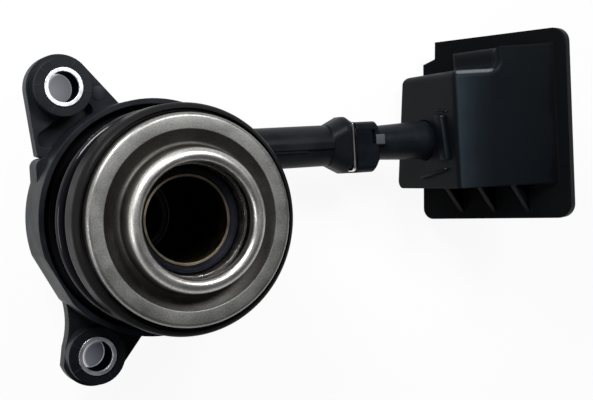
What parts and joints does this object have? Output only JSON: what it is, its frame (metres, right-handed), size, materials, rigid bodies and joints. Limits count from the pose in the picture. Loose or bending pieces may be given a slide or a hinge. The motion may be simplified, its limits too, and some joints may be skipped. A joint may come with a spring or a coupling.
{
  "type": "concentric clutch slave cylinder",
  "caption": "Annular clutch slave cylinder with release bearing, preload spring, two bolt ears, side pipe, line connector and rubber window grommet.",
  "frame": {"origin": "on the bearing's axis, in the plane of the ears' back face that rests on the gearbox", "axes": "+Z along the bearing's axis towards the clutch, +X along the side pipe towards the grommet"},
  "size_m": [0.1606, 0.0951, 0.0632],
  "materials": {
    "glass_filled_nylon": "satin",
    "piston_nylon": "satin",
    "zinc_steel": "satin",
    "sleeve_steel": "satin",
    "bearing_steel": "ground",
    "race_steel": "ground",
    "black_steel": "phosphated",
    "spring_black": "gloss",
    "spring_wire": "bright",
    "seal_rubber": "matt",
    "grommet_rubber": "matt"
  },
  "bodies": {
    "cylinder": {"housing": "glass_filled_nylon", "upper_bush": "zinc_steel", "lower_bush": "zinc_steel", "guide_sleeve": "sleeve_steel", "sleeve_seal": "seal_rubber", "shaft_seal": "seal_rubber", "garter_spring": "spring_wire", "pilot_seal": "seal_rubber", "preload_spring": "spring_black", "line_connector": "piston_nylon", "connector_seal": "seal_rubber", "coupling_clip": "spring_wire", "grommet": "grommet_rubber"},
    "piston_unit": {"piston": "piston_nylon", "piston_seal": "seal_rubber", "bearing_cover": "black_steel", "fixed_race": "race_steel", "bearing_keeper": "bearing_steel", "bearing_seal": "seal_rubber"},
    "contact_body": {"contact_ring": "bearing_steel"},
    "cage_body": {"bearing_balls": "bearing_steel", "ball_cage": "piston_nylon"},
    "port_clip_body": {"port_clip": "spring_wire"},
    "bleed_screw_body": {"bleed_screw": "zinc_steel"},
    "bleed_cap_body": {"bleed_cap": "seal_rubber"}
  },
  "joints": [
    {"name": "piston_slide", "type": "slide", "parent": "cylinder", "child": "piston_unit", "axis": [0, 0, 1], "range_m": [-0.0115, 0], "stiffness_N_per_m": 2500, "springref_m": 0.02, "deforming": ["preload_spring"]},
    {"name": "contact_spin", "type": "hinge", "parent": "piston_unit", "child": "contact_body", "pos_m": [0, 0, 0.0376], "axis": [0, 0, 1], "continuous": true},
    {"name": "cage_orbit", "type": "hinge", "parent": "piston_unit", "child": "cage_body", "pos_m": [0, 0, 0.0376], "axis": [0, 0, 1], "continuous": true},
    {"name": "port_clip_slide", "type": "slide", "parent": "cylinder", "child": "port_clip_body", "axis": [0, -1, 0], "range_m": [0, 0.004]},
    {"name": "bleed_turn", "type": "hinge", "parent": "cylinder", "child": "bleed_screw_body", "pos_m": [0.1116, 0.02795, 0.002], "axis": [1, 0, 0], "range_deg": [0, 360]},
    {"name": "bleed_cap_pull", "type": "slide", "parent": "bleed_screw_body", "child": "bleed_cap_body", "axis": [1, 0, 0], "range_m": [0, 0.012]}
  ],
  "couplings": [
    {"joint": "cage_orbit", "follows": "contact_spin", "ratio": 0.53}
  ]
}
